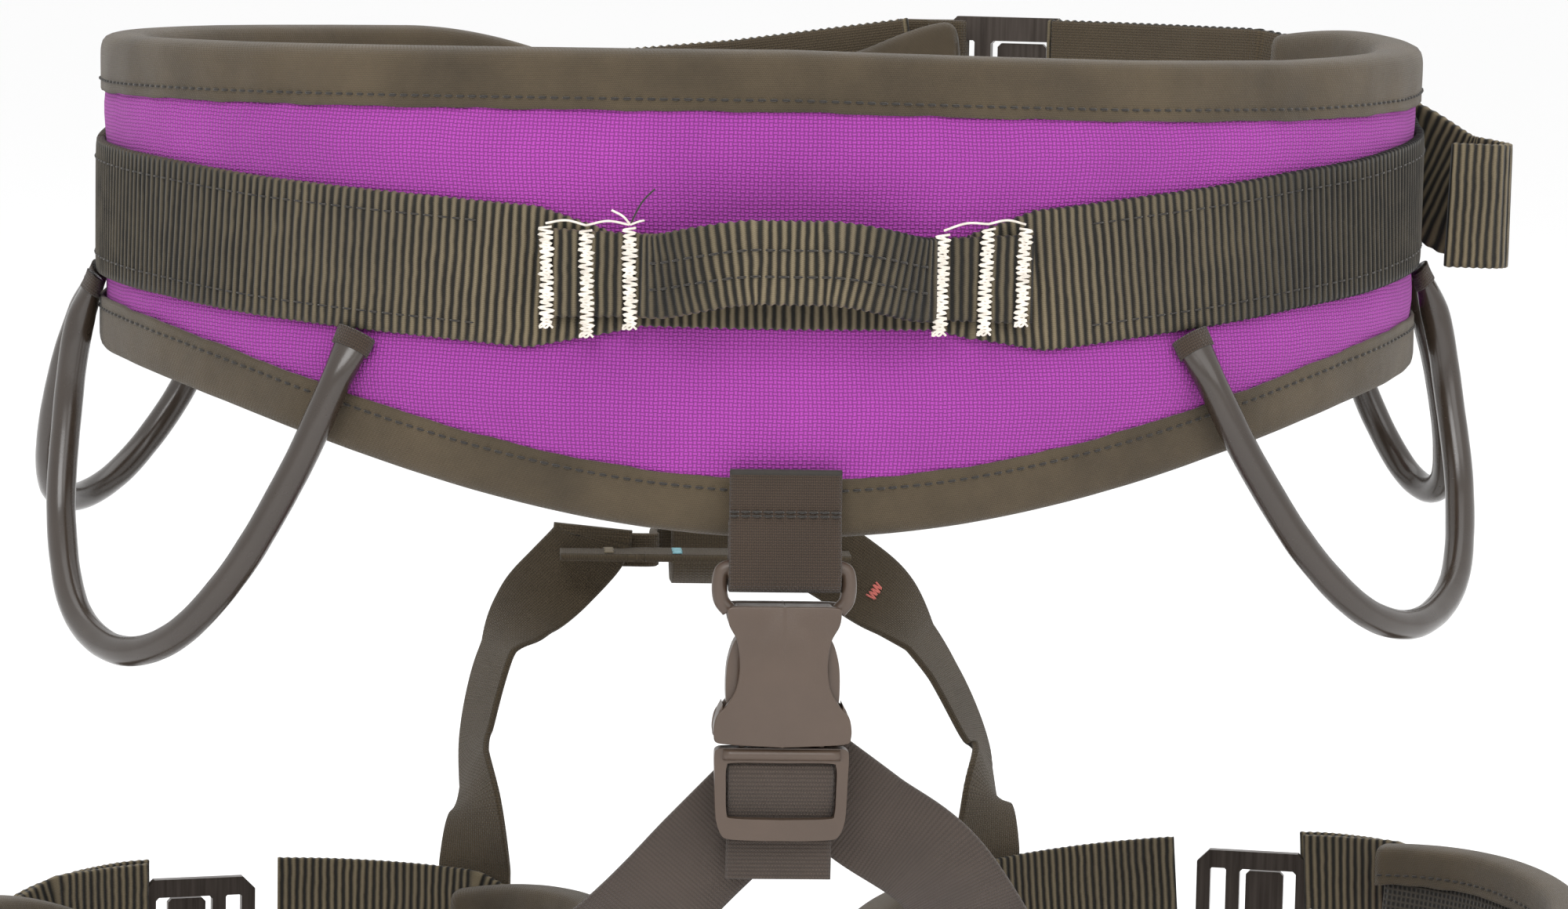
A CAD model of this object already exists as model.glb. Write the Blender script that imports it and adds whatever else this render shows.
import math

import bmesh
import bpy
import numpy as np
from mathutils import Matrix, Vector


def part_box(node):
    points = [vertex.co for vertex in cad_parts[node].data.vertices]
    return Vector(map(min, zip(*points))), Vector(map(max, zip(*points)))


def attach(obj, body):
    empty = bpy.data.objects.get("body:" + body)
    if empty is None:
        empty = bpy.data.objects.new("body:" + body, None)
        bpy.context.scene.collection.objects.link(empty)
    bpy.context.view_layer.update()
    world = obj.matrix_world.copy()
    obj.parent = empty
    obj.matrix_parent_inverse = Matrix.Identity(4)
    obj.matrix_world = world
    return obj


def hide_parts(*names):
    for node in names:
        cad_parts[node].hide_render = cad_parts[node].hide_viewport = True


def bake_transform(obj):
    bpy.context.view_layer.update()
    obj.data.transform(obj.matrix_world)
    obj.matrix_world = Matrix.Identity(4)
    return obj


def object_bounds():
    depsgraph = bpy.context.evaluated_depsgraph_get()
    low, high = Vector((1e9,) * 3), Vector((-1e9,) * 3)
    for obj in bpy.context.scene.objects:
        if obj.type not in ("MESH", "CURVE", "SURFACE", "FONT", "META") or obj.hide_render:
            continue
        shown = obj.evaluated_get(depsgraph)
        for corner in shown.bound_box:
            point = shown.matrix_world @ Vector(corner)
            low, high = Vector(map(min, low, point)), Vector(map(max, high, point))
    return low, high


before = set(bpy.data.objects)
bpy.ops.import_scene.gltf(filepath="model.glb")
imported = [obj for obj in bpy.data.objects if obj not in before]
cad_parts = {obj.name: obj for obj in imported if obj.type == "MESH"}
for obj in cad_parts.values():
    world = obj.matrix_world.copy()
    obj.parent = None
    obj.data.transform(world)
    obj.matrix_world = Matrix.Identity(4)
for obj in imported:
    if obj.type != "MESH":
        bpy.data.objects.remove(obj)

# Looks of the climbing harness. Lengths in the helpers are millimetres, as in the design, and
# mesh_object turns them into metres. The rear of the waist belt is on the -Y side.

MM = 0.001
DEGREES_PER_RADIAN = 57.3
UP = np.array([0.0, 0.0, 1.0])
CAD_LOW, CAD_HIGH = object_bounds()
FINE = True


def node_box(name):
    low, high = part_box(name)
    return np.array(low) / MM, np.array(high) / MM


# Driving dimensions, read from the frame where a node gives them.
PAD_LOW, PAD_HIGH = node_box("waist_pad")
PAD_HALF = 3.4
WAIST_HALF_WIDTH = PAD_HIGH[0] - PAD_HALF - 0.2
WAIST_HALF_DEPTH = -PAD_LOW[1] - PAD_HALF
BELT_REAR = 108.5
BELT_SIDE = 78.0
BELT_FRONT = 45.0
PAD_LEFT = -161.0
PAD_RIGHT = 118.0
WEB_WIDTH = 31.5
WEB_THICK = 2.2
RIB_PITCH = 2.05
TAPE_WIDTH = 13.5
BUCKLE_LEVEL = -14.0
HAUL_LEVEL = -49.8
HAUL_RISE = 4.0
TIE_X = -8.0
RING_Y = 124.0
SOCKET_LOW, SOCKET_HIGH = node_box("rear_socket")
PLUG_LOW, PLUG_HIGH = node_box("rear_plug")
LEG_X = 115.0
LEG_Y = 4.0
LEG_TOPS = {-1: -224.0, 1: -217.0}
LEG_SLOPES = {-1: 0.0, 1: 0.08}
LEG_DRAWS = {-1: 10.0, 1: 2.0}
LEG_START = 39.0
LEG_END = 330.0
LEG_JOIN = -29.5
LEG_WEB_OFFSET = 6.4
LEG_DRAW_SPAN = 30.0
LEG_DRAW_END = 6.0
LEG_FRONT_RISE = 11.0
HAUL_PROUD = 9.5
GEAR_RADIUS = 3.5
BRIDGE_LEVEL = -141.0
FRONT_STRAPS = {
    -1: [(-37.0, 106.5, -134.5), (-38.0, 106.5, -139.5), (-45.5, 106.2, -148.0), (-55.0, 105.0, -157.5),
         (-62.5, 102.5, -168.5), (-67.5, 97.5, -190.0)],
    1: [(19.0, 106.5, -134.5), (20.0, 106.5, -139.0), (31.0, 106.2, -146.0), (44.5, 105.0, -156.5),
        (56.5, 102.5, -172.0), (66.0, 97.0, -192.0)],
}
TOP_EDGE = (
    (-161.0, -120.0, -75.0, -50.0, -20.0, 0.0, 15.0, 30.0, 50.0, 70.0, 90.0, 118.0),
    (-2.4, -1.9, -2.2, -1.6, -0.5, 0.0, -0.8, -1.6, -1.8, -0.8, 1.0, 3.5),
)
WEB_PATH = (
    (-198.0, -180.0, -165.0, -150.0, -120.0, -90.0, -75.0, -62.0, -49.0, -30.0, -23.0, -15.0, 0.0,
     15.0, 23.0, 31.0, 39.0, 48.5, 60.0, 68.0, 90.0, 100.0, 110.0, 118.0, 125.0, 150.0),
    (-14.0, -21.0, -25.0, -28.0, -36.0, -42.8, -43.7, -45.0, -47.2, -49.7, -50.8, -51.8, -52.0,
     -51.8, -49.9, -47.5, -45.4, -42.6, -40.4, -38.6, -35.0, -30.0, -23.0, -17.0, -14.5, -14.0),
)


# Curves and arrays


def unit(vectors):
    vectors = np.asarray(vectors, float)
    return vectors / np.maximum(np.linalg.norm(vectors, axis=-1, keepdims=True), 1e-9)


def ramp(value, start, end):
    share = np.clip((np.asarray(value, float) - start) / (end - start), 0.0, 1.0)
    return share * share * (3.0 - 2.0 * share)


def straight(value, start, end):
    return np.clip((np.asarray(value, float) - start) / (end - start), 0.0, 1.0)


def smooth(points, spacing):
    """Points about this far apart along a Catmull-Rom curve through the given ones."""
    points = np.asarray(points, float)
    padded = np.vstack([2 * points[0] - points[1], points, 2 * points[-1] - points[-2]])
    t = np.linspace(0.0, 1.0, 32, endpoint=False)[:, None]
    fine = []
    for i in range(len(points) - 1):
        a, b, c, d = padded[i : i + 4]
        fine.append(0.5 * (2 * b + (c - a) * t + (2 * a - 5 * b + 4 * c - d) * t**2
                           + (3 * b - a - 3 * c + d) * t**3))
    fine.append(points[-1:])
    return even(np.concatenate(fine), spacing)


def lengths(path):
    return np.concatenate([[0.0], np.cumsum(np.linalg.norm(np.diff(path, axis=0), axis=1))])


def even(path, spacing):
    """The same polyline with points this far apart."""
    path = np.asarray(path, float)
    along = lengths(path)
    wanted = np.linspace(0.0, along[-1], max(2, int(round(along[-1] / spacing)) + 1))
    return np.stack([np.interp(wanted, along, path[:, axis]) for axis in range(path.shape[1])], axis=1)


def tangents(path, closed=False):
    if closed:
        return unit(np.roll(path, -1, 0) - np.roll(path, 1, 0))
    return unit(np.gradient(path, axis=0))


def ripple(values, length, height, seed):
    """A smooth, repeatable wander along a line, of about this wavelength and height."""
    rng = np.random.default_rng(seed)
    total = np.zeros_like(np.asarray(values, float))
    for octave in range(3):
        phase = rng.uniform(0.0, 2 * np.pi)
        share = rng.uniform(0.8, 1.25) * (1.7**octave)
        total += np.sin(2 * np.pi * np.asarray(values) / length * share + phase) / (1.6**octave)
    return height * total / 1.8


# Meshes


def mesh_object(name, points, faces, material, uvs=None, tidy=True):
    """A smooth-shaded mesh from points in mm. uvs holds one (u, v) in mm per face corner."""
    mesh = bpy.data.meshes.new(name)
    mesh.from_pydata((np.asarray(points, float) * MM).tolist(), [], [list(map(int, face)) for face in faces])
    if uvs is not None:
        layer = mesh.uv_layers.new(name="length")
        layer.data.foreach_set("uv", (np.asarray(uvs, float) * MM).astype(np.float32).ravel())
    if tidy:
        shape = bmesh.new()
        shape.from_mesh(mesh)
        bmesh.ops.recalc_face_normals(shape, faces=shape.faces)
        shape.to_mesh(mesh)
        shape.free()
    mesh.polygons.foreach_set("use_smooth", [True] * len(mesh.polygons))
    for each in material if isinstance(material, (list, tuple)) else [material]:
        mesh.materials.append(each)
    made = bpy.data.objects.new(name, mesh)
    bpy.context.collection.objects.link(made)
    return made


def wrapped(name, grid, along, around, material, capped=True, closed=False):
    """A skin over rings of points: grid is (rings, points, 3). along and around give the UVs."""
    rings, count = grid.shape[:2]
    last = rings if closed else rings - 1
    i, j = np.meshgrid(np.arange(last), np.arange(count), indexing="ij")
    i, j = i.ravel(), j.ravel()
    k = (j + 1) % count
    h = (i + 1) % rings
    faces = np.stack([i * count + j, i * count + k, h * count + k, h * count + j], axis=1).tolist()
    along = np.append(along, along[-1] + (along[1] - along[0])) if closed else along
    around = np.append(around, around[-1] + abs(around[1] - around[0]))
    corner = np.stack([np.stack([along[i], around[j]], 1), np.stack([along[i], around[j + 1]], 1),
                       np.stack([along[i + 1], around[j + 1]], 1), np.stack([along[i + 1], around[j]], 1)], 1)
    uvs = corner.reshape(-1, 2)
    if capped and not closed:
        faces.append(list(range(count)))
        faces.append(list(range((rings - 1) * count, rings * count)))
        uvs = np.concatenate([uvs, np.zeros((2 * count, 2))])
    return mesh_object(name, grid.reshape(-1, 3), faces, material, uvs)


def strap(name, path, across, width, thick, material, ribs=0.0, pitch=RIB_PITCH, step=0.34, closed=False,
          twist=None, wave=0.0):
    """A woven strap with rolled edges. ribs is its cross ribs' height, across its width's way."""
    path = np.asarray(path, float)
    across = np.broadcast_to(np.asarray(across, float), path.shape)
    widths = np.broadcast_to(np.asarray(width, float), (len(path),))
    spacing = step if ribs else max(step, 1.2)
    whole = np.concatenate([path, across, widths[:, None]], axis=1)
    along = lengths(path)
    if closed:
        whole = np.concatenate([whole, whole[:1]])
        along = lengths(whole[:, :3])
    count = max(4, int(round(along[-1] / spacing)))
    wanted = np.linspace(0.0, along[-1], count + 1)
    whole = np.stack([np.interp(wanted, along, whole[:, axis]) for axis in range(7)], axis=1)
    if closed:
        whole = whole[:-1]
        wanted = wanted[:-1]
    path, across, widths = whole[:, :3], whole[:, 3:6], whole[:, 6]
    going = tangents(path, closed)
    out = unit(np.cross(going, across))
    side = unit(np.cross(out, going))
    half = thick / 2
    flat = np.array([-1.0, -0.9, -0.72, -0.5, -0.25, 0.0, 0.25, 0.5, 0.72, 0.9, 1.0])
    top = [(a, 1.0, 1.0 - abs(a) ** 10) for a in flat]
    bottom = [(a, -1.0, 1.0 - abs(a) ** 10) for a in flat[::-1]]
    section = np.array([*top, (1.0, 0.5, 0.0), (1.0, -0.5, 0.0), *bottom, (-1.0, -0.5, 0.0),
                        (-1.0, 0.5, 0.0)])
    bulge = np.array([0.0] * 11 + [0.3, 0.3] + [0.0] * 11 + [0.3, 0.3])
    inset = np.where(np.abs(section[:, 0]) == 1.0, 0.35 * half, 0.0) - bulge * half
    rib = ribs * (np.abs(np.sin(np.pi * wanted / pitch)) ** 0.7 - 0.6)
    edge_wave = wave * np.sin(2 * np.pi * wanted / pitch)
    reach = section[:, 0][None] * (widths / 2 + edge_wave)[:,
                                                           None] - np.sign(section[:, 0])[None] * inset[None]
    lift = section[:, 1][None] * half + np.sign(section[:, 1])[None] * section[:, 2][None] * rib[:, None]
    if twist is not None:
        lift = lift + twist(wanted)[:, None] * section[:, 0][None] ** 2
    grid = path[:, None] + side[:, None] * reach[..., None] + out[:, None] * lift[..., None]
    around = np.concatenate([flat * 0.5, [0.52, 0.54], 0.56 + (flat + 1.0) * 0.5,
                             [1.58, 1.6]]) * widths.mean()
    return wrapped(name, grid, wanted, around, material, closed=closed)


def tube(name, path, radius, material, sides=14, flatten=None):
    """A round tube. flatten gives (share along, squeeze, direction) to press it flat near its ends."""
    path = np.asarray(path, float)
    going = tangents(path)
    side = unit(np.cross(going[0], (0.31, 0.57, 0.76)))
    sides_of = []
    for tangent in going:
        side = unit(side - tangent * np.dot(side, tangent))
        sides_of.append(side)
    sides_of = np.array(sides_of)
    other = np.cross(going, sides_of)
    turns = np.linspace(0.0, 2 * np.pi, sides, endpoint=False)
    radii = np.broadcast_to(np.asarray(radius, float), (len(path),))
    offset = sides_of[:, None] * np.cos(turns)[None, :, None] + other[:, None] * np.sin(turns)[None, :, None]
    if flatten is not None:
        squeeze, direction = flatten
        part = np.einsum("ijk,ik->ij", offset, direction)[..., None] * direction[:, None]
        offset = offset - part * squeeze[:, None, None] + (offset - part) * (0.45 * squeeze)[:, None, None]
    grid = path[:, None] + offset * radii[:, None, None]
    return wrapped(name, grid, lengths(path), turns * radii.mean(), material)


def joined(name, parts):
    """Several small pieces of one material as one object."""
    if len(parts) > 1:
        with bpy.context.temp_override(active_object=parts[0], selected_editable_objects=parts):
            bpy.ops.object.join()
    parts[0].name = name
    parts[0].data.name = name
    return parts[0]


def thread_mesh(name, runs, radius, material, sides=5):
    """Many short threads as one mesh: runs is a list of (points, 3) arrays of one length."""
    runs = np.asarray(runs, float)
    count, steps = runs.shape[:2]
    going = unit(np.gradient(runs, axis=1))
    side = unit(np.cross(going, np.array([0.31, 0.57, 0.76])))
    other = np.cross(going, side)
    turns = np.linspace(0.0, 2 * np.pi, sides, endpoint=False)
    ring = side[:, :, None] * np.cos(turns)[:, None] + other[:, :, None] * np.sin(turns)[:, None]
    taper = np.ones(steps)
    taper[[0, -1]] = 0.55
    points = runs[:, :, None] + ring * (radius * taper)[None, :, None, None]
    base = np.arange(count)[:, None, None] * steps * sides
    i = np.arange(steps - 1)[None, :, None] * sides
    j = np.arange(sides)[None, None, :]
    k = (j + 1) % sides
    faces = np.stack([base + i + j, base + i + k, base + i + sides + k, base + i + sides + j],
                     -1).reshape(-1, 4)
    caps = []
    for at in (0, steps - 1):
        caps.append((base[:, :, 0] + at * sides + np.arange(sides)[None]).reshape(count, sides))
    return mesh_object(name, points.reshape(-1, 3), faces.tolist() + np.concatenate(caps).tolist(), material)


def stitch_runs(path, out, length, gap, lift=0.32, sink=0.25):
    """Dashes of thread along a path, each rising out of the cloth and going back in."""
    along = lengths(path)
    pitch = length + gap
    starts = np.arange(0.5 * gap, along[-1] - length, pitch)
    share = np.linspace(0.0, 1.0, 5)
    rise = np.array([-sink, 0.7 * lift, lift, 0.7 * lift, -sink])
    at = starts[:, None] + share[None] * length
    line = np.stack([np.interp(at, along, path[:, axis]) for axis in range(3)], -1)
    away = unit(np.stack([np.interp(at, along, out[:, axis]) for axis in range(3)], -1))
    return line + away * rise[None, :, None]


# Materials


class Finish:
    """A Principled material and short ways to add nodes to it."""

    def __init__(self, name, colour, rough, metal=0.0, sheen=0.0, specular=0.5, coat=0.0):
        self.material = bpy.data.materials.new(name)
        self.material.use_nodes = True
        self.tree = self.material.node_tree
        self.shader = self.tree.nodes["Principled BSDF"]
        self.set("Base Color", (*colour, 1.0))
        self.set("Roughness", rough)
        self.set("Metallic", metal)
        self.set("Specular IOR Level", specular)
        self.set("Sheen Weight", sheen)
        self.set("Sheen Roughness", 0.45)
        self.set("Coat Weight", coat)
        self.set("Coat Roughness", 0.2)

    def set(self, socket, value):
        self.shader.inputs[socket].default_value = value

    def add(self, kind, **settings):
        node = self.tree.nodes.new(kind)
        for key, value in settings.items():
            setattr(node, key, value)
        return node

    def feed(self, socket, value):
        if isinstance(value, bpy.types.NodeSocket):
            self.tree.links.new(value, socket)
        else:
            socket.default_value = value

    def math(self, operation, a, b=0.0, c=0.0):
        node = self.add("ShaderNodeMath", operation=operation)
        for socket, value in zip(node.inputs, (a, b, c)):
            self.feed(socket, value)
        return node.outputs[0]

    def lengthwise(self):
        """The (u, v) of the surface in millimetres."""
        split = self.add("ShaderNodeSeparateXYZ")
        self.tree.links.new(self.add("ShaderNodeUVMap", uv_map="length").outputs[0], split.inputs[0])
        return self.math("MULTIPLY", split.outputs[0], 1000.0), self.math("MULTIPLY", split.outputs[1],
                                                                          1000.0)

    def noise(self, scale, detail=3.0, rough=0.6):
        node = self.add("ShaderNodeTexNoise")
        self.feed(node.inputs["Scale"], scale)
        self.feed(node.inputs["Detail"], detail)
        self.feed(node.inputs["Roughness"], rough)
        place = self.add("ShaderNodeTexCoord")
        self.tree.links.new(place.outputs["Object"], node.inputs["Vector"])
        return node.outputs[0]

    def ramp(self, factor, stops):
        node = self.add("ShaderNodeValToRGB")
        self.feed(node.inputs[0], factor)
        while len(node.color_ramp.elements) < len(stops):
            node.color_ramp.elements.new(0.5)
        for element, (place, colour) in zip(node.color_ramp.elements, stops):
            element.position = place
            element.color = (*colour, 1.0)
        return node.outputs[0]

    def mix(self, factor, a, b, blend="MIX"):
        node = self.add("ShaderNodeMix", data_type="RGBA", blend_type=blend)
        self.feed(node.inputs[0], factor)
        for socket, value in ((node.inputs[6], a), (node.inputs[7], b)):
            self.feed(socket, value if isinstance(value, bpy.types.NodeSocket) else (*value, 1.0))
        return node.outputs[2]

    def colour(self, value):
        self.tree.links.new(value, self.shader.inputs["Base Color"])

    def bump(self, height, distance, strength=1.0):
        node = self.add("ShaderNodeBump")
        self.feed(node.inputs["Strength"], strength)
        self.feed(node.inputs["Distance"], distance * MM)
        self.tree.links.new(height, node.inputs["Height"])
        self.tree.links.new(node.outputs[0], self.shader.inputs["Normal"])

    def plain_weave(self, u, v, pitch_u, pitch_v):
        """Height of a plain weave over millimetre coordinates."""
        a = self.math("SINE", self.math("MULTIPLY", u, math.pi / pitch_u))
        b = self.math("SINE", self.math("MULTIPLY", v, math.pi / pitch_v))
        over = self.math("MULTIPLY_ADD", self.math("MULTIPLY", a, b), 2.2, 0.5)
        over = self.math("MINIMUM", self.math("MAXIMUM", over, 0.0), 1.0)
        weft = self.math("ABSOLUTE", b)
        warp = self.math("ABSOLUTE", a)
        return self.math("ADD", self.math("MULTIPLY", over, warp),
                         self.math("MULTIPLY", self.math("SUBTRACT", 1.0, over), weft))


def scaled(colour, factor):
    return tuple(min(1.0, channel * factor) for channel in colour)


PURPLE = (0.310, 0.044, 0.300)
OLIVE = (0.066, 0.048, 0.027)
RIB_LIGHT = (0.130, 0.104, 0.064)
RIB_DARK = (0.006, 0.006, 0.005)
BROWN = (0.040, 0.026, 0.017)
ELASTIC = (0.054, 0.040, 0.032)
PLASTIC = (0.070, 0.046, 0.032)


def purple_cloth():
    made = Finish("purple_cloth", PURPLE, 0.84, sheen=0.1, specular=0.2)
    u, v = made.lengthwise()
    wander = made.math("MULTIPLY", made.noise(55.0), 1.1)
    height = made.plain_weave(made.math("ADD", u, wander), made.math("ADD", v, wander), 0.92, 0.86)
    patch = made.noise(16.0, 4.0)
    thread = made.ramp(height, [(0.0, scaled(PURPLE, 0.42)), (0.45, scaled(PURPLE, 0.92)),
                                (1.0, scaled(PURPLE, 1.22))])
    worn = made.ramp(patch, [(0.25, (0.84, 0.84, 0.86)), (0.75, (1.08, 1.10, 1.08))])
    made.colour(made.mix(1.0, thread, worn, "MULTIPLY"))
    grain = made.math("ADD", height, made.math("MULTIPLY", made.noise(900.0), 0.25))
    made.bump(grain, 0.32)
    return made.material


def tape_cloth():
    made = Finish("edge_tape", OLIVE, 0.78, sheen=0.18, specular=0.3)
    u, v = made.lengthwise()
    height = made.plain_weave(made.math("ADD", u, made.math("MULTIPLY", v, 0.5)), v, 0.42, 0.42)
    patch = made.noise(28.0, 5.0, 0.65)
    base = made.ramp(patch, [(0.25, scaled(OLIVE, 0.62)), (0.5, OLIVE), (0.78, scaled(OLIVE, 1.45))])
    dots = made.ramp(height, [(0.0, (0.62, 0.62, 0.62)), (1.0, (1.12, 1.12, 1.12))])
    made.colour(made.mix(1.0, base, dots, "MULTIPLY"))
    relief = made.math("ADD", made.math("MULTIPLY", height, 0.35), made.noise(160.0, 4.0))
    made.bump(relief, 0.28)
    return made.material


def ribbed_web(name, shades=()):
    """Light cross ribs with near-black gaps. shades lists (x in mm, lightness there)."""
    made = Finish(name, RIB_LIGHT, 0.74, sheen=0.1, specular=0.3)
    u, v = made.lengthwise()
    bend = made.math("MULTIPLY", made.math("SUBTRACT", made.noise(120.0, 3.0), 0.5), 0.9)
    shifted = made.math("ADD", u, bend)
    wave = made.math("ABSOLUTE", made.math("SINE", made.math("MULTIPLY", shifted, math.pi / RIB_PITCH)))
    twill = made.math("ABSOLUTE", made.math("SINE", made.math(
        "MULTIPLY", made.math("ADD", v, made.math("MULTIPLY", u, 0.25)), math.pi / 0.42)))
    level = made.math("MULTIPLY", wave, made.math("MULTIPLY_ADD", twill, 0.16, 0.84))
    tint = made.ramp(level, [(0.0, RIB_DARK), (0.45, scaled(RIB_LIGHT, 0.12)), (0.72, scaled(RIB_LIGHT, 0.62)),
                             (0.97, scaled(RIB_LIGHT, 1.25))])
    patch = made.ramp(made.noise(36.0, 4.0), [(0.2, (0.74, 0.74, 0.76)), (0.8, (1.14, 1.13, 1.08))])
    cloth = made.mix(1.0, tint, patch, "MULTIPLY")
    if shades:
        reach = shades[-1][0]
        split = made.add("ShaderNodeSeparateXYZ")
        made.tree.links.new(made.add("ShaderNodeTexCoord").outputs["Object"], split.inputs[0])
        place_x = made.math("MULTIPLY_ADD", split.outputs[0], 500.0 / reach, 0.5)
        stops = [((x / reach + 1.0) / 2, (share, share, share)) for x, share in shades]
        cloth = made.mix(1.0, cloth, made.ramp(place_x, stops), "MULTIPLY")
    made.colour(cloth)
    made.bump(made.math("ADD", made.math("MULTIPLY", wave, 0.6), made.math("MULTIPLY", twill, 0.22)), 0.3)
    return made.material


def fine_web(name, colour, pitch_u, pitch_v, contrast=0.55):
    """Closely woven strap: small threads in rows."""
    made = Finish(name, colour, 0.8, sheen=0.15, specular=0.3)
    u, v = made.lengthwise()
    height = made.plain_weave(u, v, pitch_u, pitch_v)
    patch = made.noise(40.0, 4.0)
    base = made.ramp(patch, [(0.2, scaled(colour, 0.8)), (0.8, scaled(colour, 1.22))])
    dots = made.ramp(height, [(0.0, (contrast, contrast, contrast)), (0.7, (1.05, 1.05, 1.05)),
                              (1.0, (1.3, 1.28, 1.24))])
    made.colour(made.mix(1.0, base, dots, "MULTIPLY"))
    made.bump(made.math("ADD", height, made.math("MULTIPLY", made.noise(500.0), 0.3)), 0.24)
    return made.material


def lining_mesh():
    made = Finish("lining_mesh", (0.045, 0.040, 0.034), 0.9, sheen=0.1, specular=0.2)
    u, v = made.lengthwise()
    a = made.math("SINE", made.math("MULTIPLY", u, math.pi / 1.5))
    b = made.math("SINE", made.math("MULTIPLY", v, math.pi / 1.5))
    holes = made.math("ABSOLUTE", made.math("MULTIPLY", a, b))
    made.colour(made.ramp(holes, [(0.15, (0.060, 0.052, 0.042)), (0.75, (0.020, 0.018, 0.016))]))
    made.bump(made.math("SUBTRACT", 1.0, holes), 0.4)
    return made.material


def plain_thread(name, colour, rough=0.75):
    made = Finish(name, colour, rough, sheen=0.2)
    patch = made.noise(420.0, 3.0)
    made.colour(made.ramp(patch, [(0.25, scaled(colour, 0.7)), (0.75, scaled(colour, 1.15))]))
    made.bump(patch, 0.12)
    return made.material


def satin_plastic(name, colour, rough, grain, coat=0.0):
    """Moulded plastic: fine spark-eroded grain, faint scuffs and slightly uneven gloss."""
    made = Finish(name, colour, rough, specular=0.5, coat=coat)
    patch = made.noise(70.0, 5.0)
    made.colour(made.ramp(patch, [(0.2, scaled(colour, 0.88)), (0.8, scaled(colour, 1.1))]))
    gloss = made.add("ShaderNodeMapRange")
    made.feed(gloss.inputs[0], made.noise(240.0, 6.0))
    made.feed(gloss.inputs[3], rough - 0.07)
    made.feed(gloss.inputs[4], rough + 0.1)
    made.tree.links.new(gloss.outputs[0], made.shader.inputs["Roughness"])
    made.bump(made.noise(2600.0, 2.0), grain)
    return made.material


def brushed_metal():
    made = Finish("buckle_metal", (0.090, 0.075, 0.065), 0.34, metal=0.85)
    stretch = made.add("ShaderNodeMapping")
    place = made.add("ShaderNodeTexCoord")
    made.tree.links.new(place.outputs["Object"], stretch.inputs[0])
    stretch.inputs["Scale"].default_value = (900.0, 900.0, 40.0)
    grain = made.add("ShaderNodeTexNoise")
    made.tree.links.new(stretch.outputs[0], grain.inputs["Vector"])
    made.feed(grain.inputs["Scale"], 1.0)
    made.colour(made.ramp(grain.outputs[0], [(0.3, (0.065, 0.053, 0.046)), (0.7, (0.115, 0.096, 0.084))]))
    made.bump(grain.outputs[0], 0.05)
    return made.material


# How light the weave is along X, chosen by eye to follow one picture's shading. It stands in for
# light and shade, and isn't a known property of the webbing.
WAIST_SHADES = ((-156.0, 0.36), (-132.0, 0.46), (-108.0, 0.85), (-70.0, 1.1), (60.0, 1.0), (92.0, 0.72),
                (118.0, 0.34), (156.0, 0.26))
HAUL_SHADES = ((-52.0, 0.9), (-33.0, 0.75), (-27.0, 0.42), (-18.0, 0.8), (-9.0, 1.2), (10.0, 1.2),
               (20.0, 0.75),
               (27.0, 0.38), (52.0, 0.8))

MATERIALS = {
    "purple": purple_cloth(),
    "tape": tape_cloth(),
    "rib": ribbed_web("ribbed_webbing"),
    "rib_waist": ribbed_web("waist_ribbed_webbing", WAIST_SHADES),
    "rib_haul": ribbed_web("haul_ribbed_webbing", HAUL_SHADES),
    "tab": fine_web("tab_webbing", BROWN, 0.62, 0.5),
    "smooth_web": fine_web("strap_webbing", scaled(OLIVE, 0.92), 0.5, 0.7, 0.7),
    "elastic": fine_web("elastic_tape", ELASTIC, 0.9, 0.34, 0.72),
    "lining": lining_mesh(),
    "stitch": plain_thread("dark_thread", (0.018, 0.014, 0.010)),
    "stitch_light": plain_thread("olive_thread", (0.150, 0.120, 0.075)),
    "white": plain_thread("white_thread", (0.74, 0.68, 0.60), 0.65),
    "pink": plain_thread("coral_thread", (0.62, 0.16, 0.13)),
    "cyan": plain_thread("blue_thread", (0.22, 0.45, 0.50)),
    "plastic": satin_plastic("buckle_plastic", PLASTIC, 0.36, 0.03),
    "gear": satin_plastic("gear_tube", (0.030, 0.021, 0.015), 0.24, 0.012, coat=0.3),
    "metal": brushed_metal(),
}


# Ovals in plan


class Oval:
    """A belt's middle line in plan. way is the sign of X and Y as the angle grows."""

    def __init__(self, centre, half_x, half_y, way):
        self.centre = np.array(centre, float)
        self.half = np.array([half_x, half_y], float)
        self.way = np.array(way, float)
        turn = np.radians(np.linspace(-220.0, 400.0, 6201))
        line = np.stack([half_x * np.sin(turn), half_y * np.cos(turn)], 1)
        self.table = (np.degrees(turn), lengths(line))

    def out(self, angles):
        turn = np.radians(np.asarray(angles, float))
        flat = unit(np.stack([np.sin(turn) / self.half[0], np.cos(turn) / self.half[1]], -1)) * self.way
        return np.concatenate([flat, np.zeros_like(flat[..., :1])], -1)

    def at(self, angles, offsets, levels):
        angles, offsets, levels = np.broadcast_arrays(*[np.asarray(x, float) for x in (angles, offsets,
                                                                                       levels)])
        turn = np.radians(angles)
        flat = np.stack([self.half[0] * np.sin(turn), self.half[1] * np.cos(turn)],
                        -1) * self.way + self.centre
        base = np.concatenate([flat, levels[..., None]], -1)
        return base + self.out(angles) * offsets[..., None]

    def arc(self, angles):
        """Length along the oval, from the table's start."""
        return np.interp(angles, *self.table)

    def angles(self, start, end, spacing):
        """Angles from start to end, this far apart along the oval."""
        low, high = self.arc(start), self.arc(end)
        wanted = np.linspace(low, high, int(round(abs(high - low) / spacing)) + 1)
        return np.interp(wanted, self.table[1], self.table[0])


WAIST = Oval((0.0, 0.0), WAIST_HALF_WIDTH, WAIST_HALF_DEPTH, (1.0, -1.0))
LEGS = {side: Oval((side * LEG_X, LEG_Y), 88.0, 84.0, (side, 1.0)) for side in (-1, 1)}


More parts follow.
